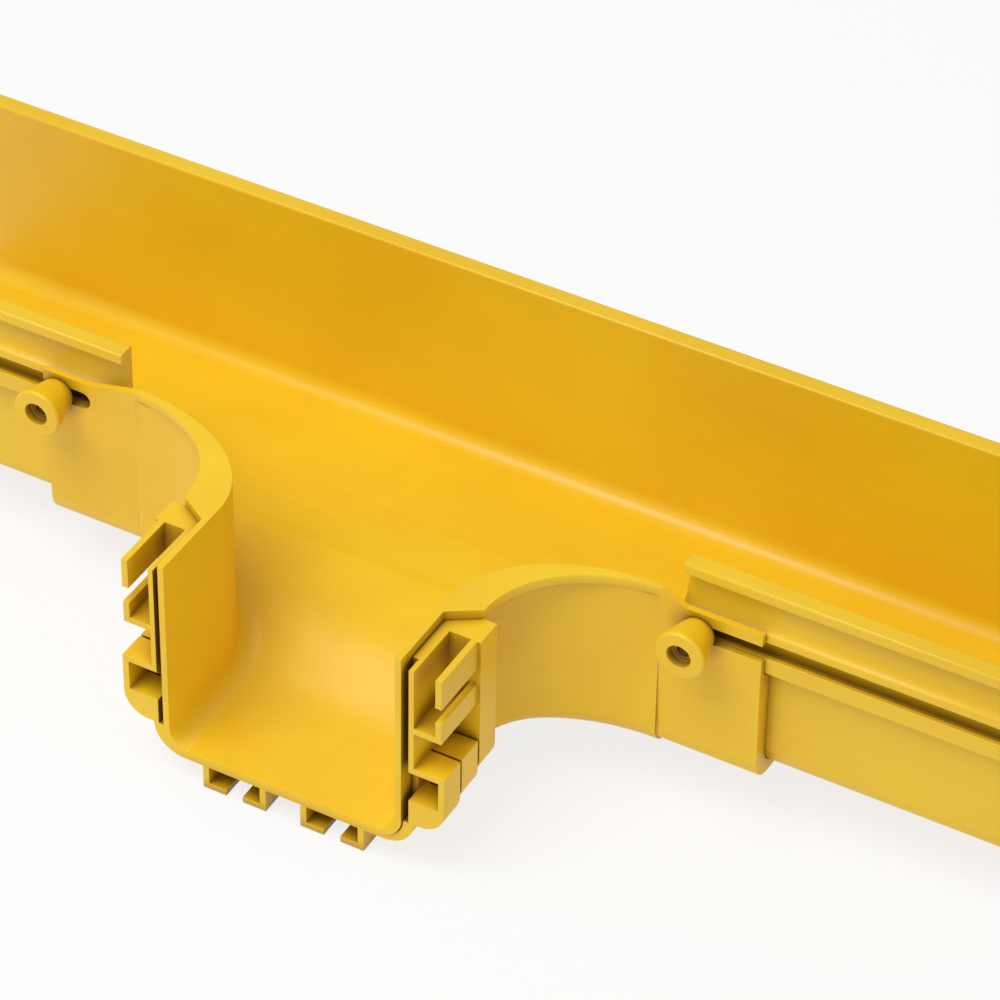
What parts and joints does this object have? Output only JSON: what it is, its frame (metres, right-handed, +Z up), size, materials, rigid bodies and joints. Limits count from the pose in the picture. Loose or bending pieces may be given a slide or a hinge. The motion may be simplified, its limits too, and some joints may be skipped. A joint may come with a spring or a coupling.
{
  "type": "fibre raceway side exit",
  "caption": "Open-top fibre raceway trough with a trumpet-shaped side exit clamped over a cut in its wall by thumb knobs on T-bolts, and a railed joint collar on the spout.",
  "frame": {"origin": "on the trough's flat underside, midway across the trough and on the centre plane of the exit", "axes": "+X along the trough, -Y out through the side exit, +Z up"},
  "size_m": [0.6, 0.232, 0.1306],
  "materials": {
    "trough_yellow": "satin, extruded",
    "exit_yellow": "satin, moulded",
    "collar_yellow": "satin, moulded",
    "knob_yellow": "satin, moulded",
    "bush_brass": "turned",
    "bolt_steel": "zinc plated"
  },
  "bodies": {
    "raceway": {"trough": "trough_yellow", "exit_body": "exit_yellow", "joint_collar": "collar_yellow"},
    "left_bolt": {"bolt_left": "bolt_steel"},
    "left_knob": {"knob_left": "knob_yellow", "bush_left": "bush_brass"},
    "right_bolt": {"bolt_right": "bolt_steel"},
    "right_knob": {"knob_right": "knob_yellow", "bush_right": "bush_brass"}
  },
  "joints": [
    {"name": "left_bolt_slide", "type": "slide", "parent": "raceway", "child": "left_bolt", "axis": [1, 0, 0], "range_m": [-0.003, 0.011]},
    {"name": "left_knob_turn", "type": "hinge", "parent": "left_bolt", "child": "left_knob", "pos_m": [-0.167, -0.08, 0.07015], "axis": [0, -1, 0], "range_deg": [0, 720]},
    {"name": "right_bolt_slide", "type": "slide", "parent": "raceway", "child": "right_bolt", "axis": [1, 0, 0], "range_m": [-0.0015, 0.024]},
    {"name": "right_knob_turn", "type": "hinge", "parent": "right_bolt", "child": "right_knob", "pos_m": [0.146, -0.08, 0.07015], "axis": [0, -1, 0], "range_deg": [0, 720]}
  ]
}
